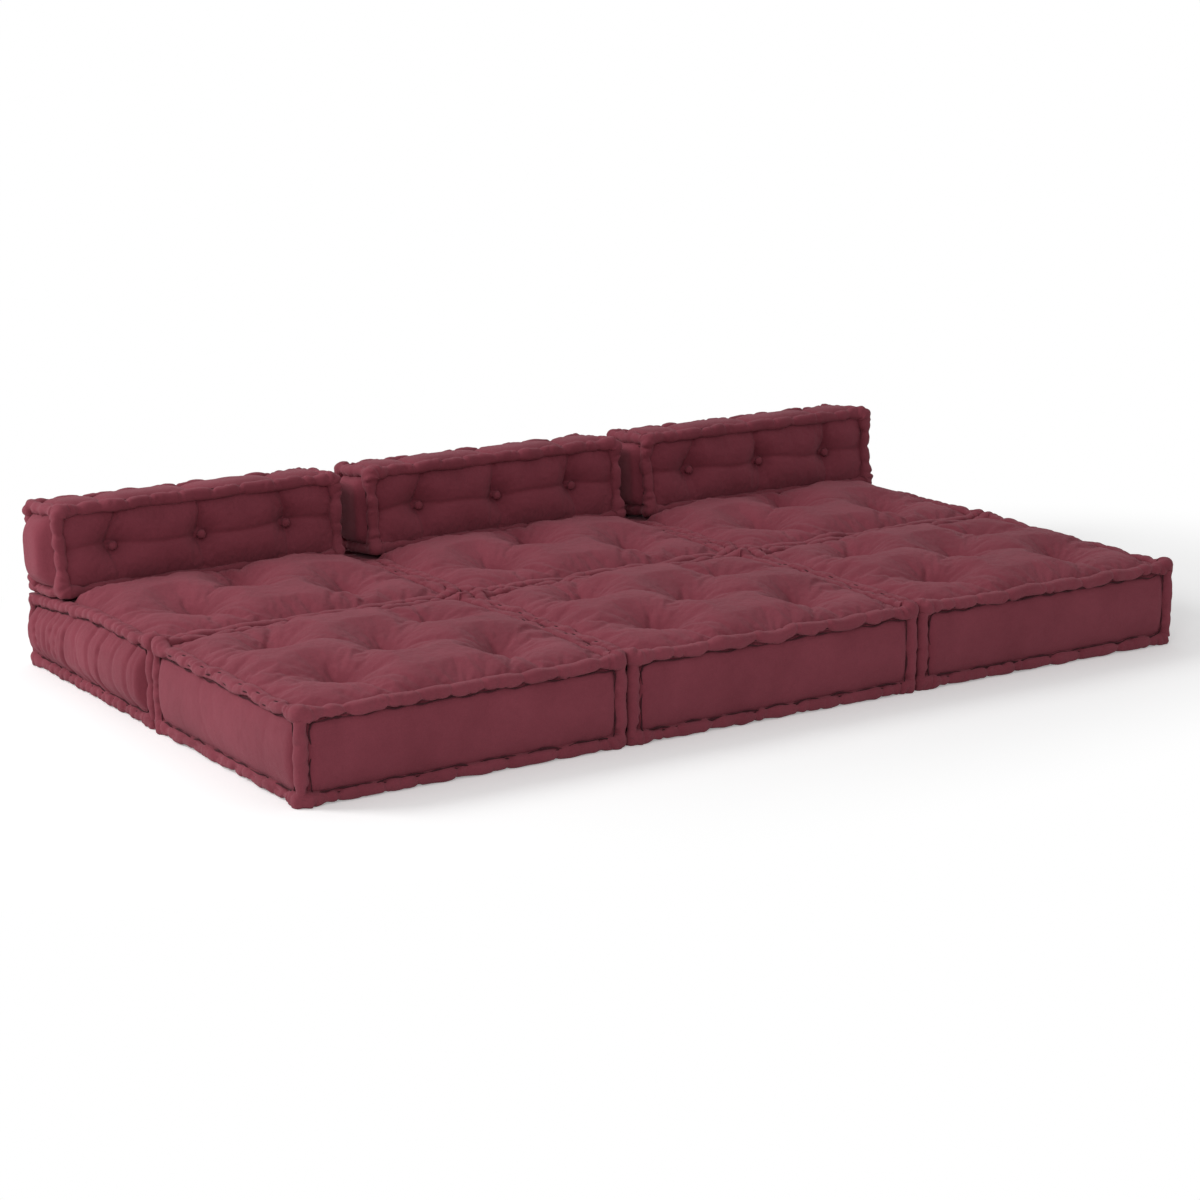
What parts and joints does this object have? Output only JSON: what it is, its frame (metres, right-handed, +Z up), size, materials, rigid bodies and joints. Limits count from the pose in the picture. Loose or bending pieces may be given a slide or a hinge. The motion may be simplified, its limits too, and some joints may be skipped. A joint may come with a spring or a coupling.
{
  "type": "modular sofa bed",
  "caption": "Low floor sofa bed of loose tufted fabric cushions: deep seat cushions with rolled edges, and buttoned backrests that stand on the rear row and lift away.",
  "frame": {"origin": "on the floor, under the middle of the whole set with all cushions together", "axes": "+X to the right seen from the front, +Y from the front to the backrests, +Z up"},
  "size_m": [2.1012, 1.2006, 0.3614],
  "materials": {
    "cover": "matte woven cotton, wine red",
    "rolled_edge": "matte woven cotton, stuffed roll",
    "base_cloth": "matte woven cotton",
    "button": "button covered in the same cotton",
    "filling": "pressed fibre wadding",
    "thread": "waxed upholstery thread"
  },
  "bodies": {
    "rear_centre_seat": {"rear_centre_seat_bottom_panel": "base_cloth", "rear_centre_seat_filling": "filling", "rear_centre_seat_rolled_edges": "rolled_edge", "rear_centre_seat_side_panels": "cover", "rear_centre_seat_top_panel": "cover", "rear_centre_seat_tuft_ties": "thread"},
    "rear_left_seat": {"rear_left_seat_bottom_panel": "base_cloth", "rear_left_seat_filling": "filling", "rear_left_seat_rolled_edges": "rolled_edge", "rear_left_seat_side_panels": "cover", "rear_left_seat_top_panel": "cover", "rear_left_seat_tuft_ties": "thread"},
    "rear_right_seat": {"rear_right_seat_bottom_panel": "base_cloth", "rear_right_seat_filling": "filling", "rear_right_seat_rolled_edges": "rolled_edge", "rear_right_seat_side_panels": "cover", "rear_right_seat_top_panel": "cover", "rear_right_seat_tuft_ties": "thread"},
    "front_left_seat": {"front_left_seat_bottom_panel": "base_cloth", "front_left_seat_filling": "filling", "front_left_seat_rolled_edges": "rolled_edge", "front_left_seat_side_panels": "cover", "front_left_seat_top_panel": "cover", "front_left_seat_tuft_ties": "thread"},
    "front_centre_seat": {"front_centre_seat_bottom_panel": "base_cloth", "front_centre_seat_filling": "filling", "front_centre_seat_rolled_edges": "rolled_edge", "front_centre_seat_side_panels": "cover", "front_centre_seat_top_panel": "cover", "front_centre_seat_tuft_ties": "thread"},
    "front_right_seat": {"front_right_seat_bottom_panel": "base_cloth", "front_right_seat_filling": "filling", "front_right_seat_rolled_edges": "rolled_edge", "front_right_seat_side_panels": "cover", "front_right_seat_top_panel": "cover", "front_right_seat_tuft_ties": "thread"},
    "left_backrest": {"left_backrest_buttons": "button", "left_backrest_filling": "filling", "left_backrest_front_panel": "cover", "left_backrest_rear_panel": "cover", "left_backrest_rolled_edges": "rolled_edge", "left_backrest_side_panels": "cover", "left_backrest_tuft_ties": "thread"},
    "centre_backrest": {"centre_backrest_buttons": "button", "centre_backrest_filling": "filling", "centre_backrest_front_panel": "cover", "centre_backrest_rear_panel": "cover", "centre_backrest_rolled_edges": "rolled_edge", "centre_backrest_side_panels": "cover", "centre_backrest_tuft_ties": "thread"},
    "right_backrest": {"right_backrest_buttons": "button", "right_backrest_filling": "filling", "right_backrest_front_panel": "cover", "right_backrest_rear_panel": "cover", "right_backrest_rolled_edges": "rolled_edge", "right_backrest_side_panels": "cover", "right_backrest_tuft_ties": "thread"}
  },
  "joints": [
    {"name": "rear_left_seat_slide", "type": "slide", "parent": "rear_centre_seat", "child": "rear_left_seat", "axis": [-1, 0, 0], "range_m": [0, 0.75]},
    {"name": "rear_right_seat_slide", "type": "slide", "parent": "rear_centre_seat", "child": "rear_right_seat", "axis": [1, 0, 0], "range_m": [0, 0.75]},
    {"name": "front_left_seat_slide", "type": "slide", "parent": "rear_left_seat", "child": "front_left_seat", "axis": [0, -1, 0], "range_m": [0, 0.75]},
    {"name": "front_centre_seat_slide", "type": "slide", "parent": "rear_centre_seat", "child": "front_centre_seat", "axis": [0, -1, 0], "range_m": [0, 0.75]},
    {"name": "front_right_seat_slide", "type": "slide", "parent": "rear_right_seat", "child": "front_right_seat", "axis": [0, -1, 0], "range_m": [0, 0.75]},
    {"name": "left_backrest_lift", "type": "slide", "parent": "rear_left_seat", "child": "left_backrest", "axis": [0, 0, 1], "range_m": [0, 0.35]},
    {"name": "centre_backrest_lift", "type": "slide", "parent": "rear_centre_seat", "child": "centre_backrest", "axis": [0, 0, 1], "range_m": [0, 0.35]},
    {"name": "right_backrest_lift", "type": "slide", "parent": "rear_right_seat", "child": "right_backrest", "axis": [0, 0, 1], "range_m": [0, 0.35]}
  ]
}
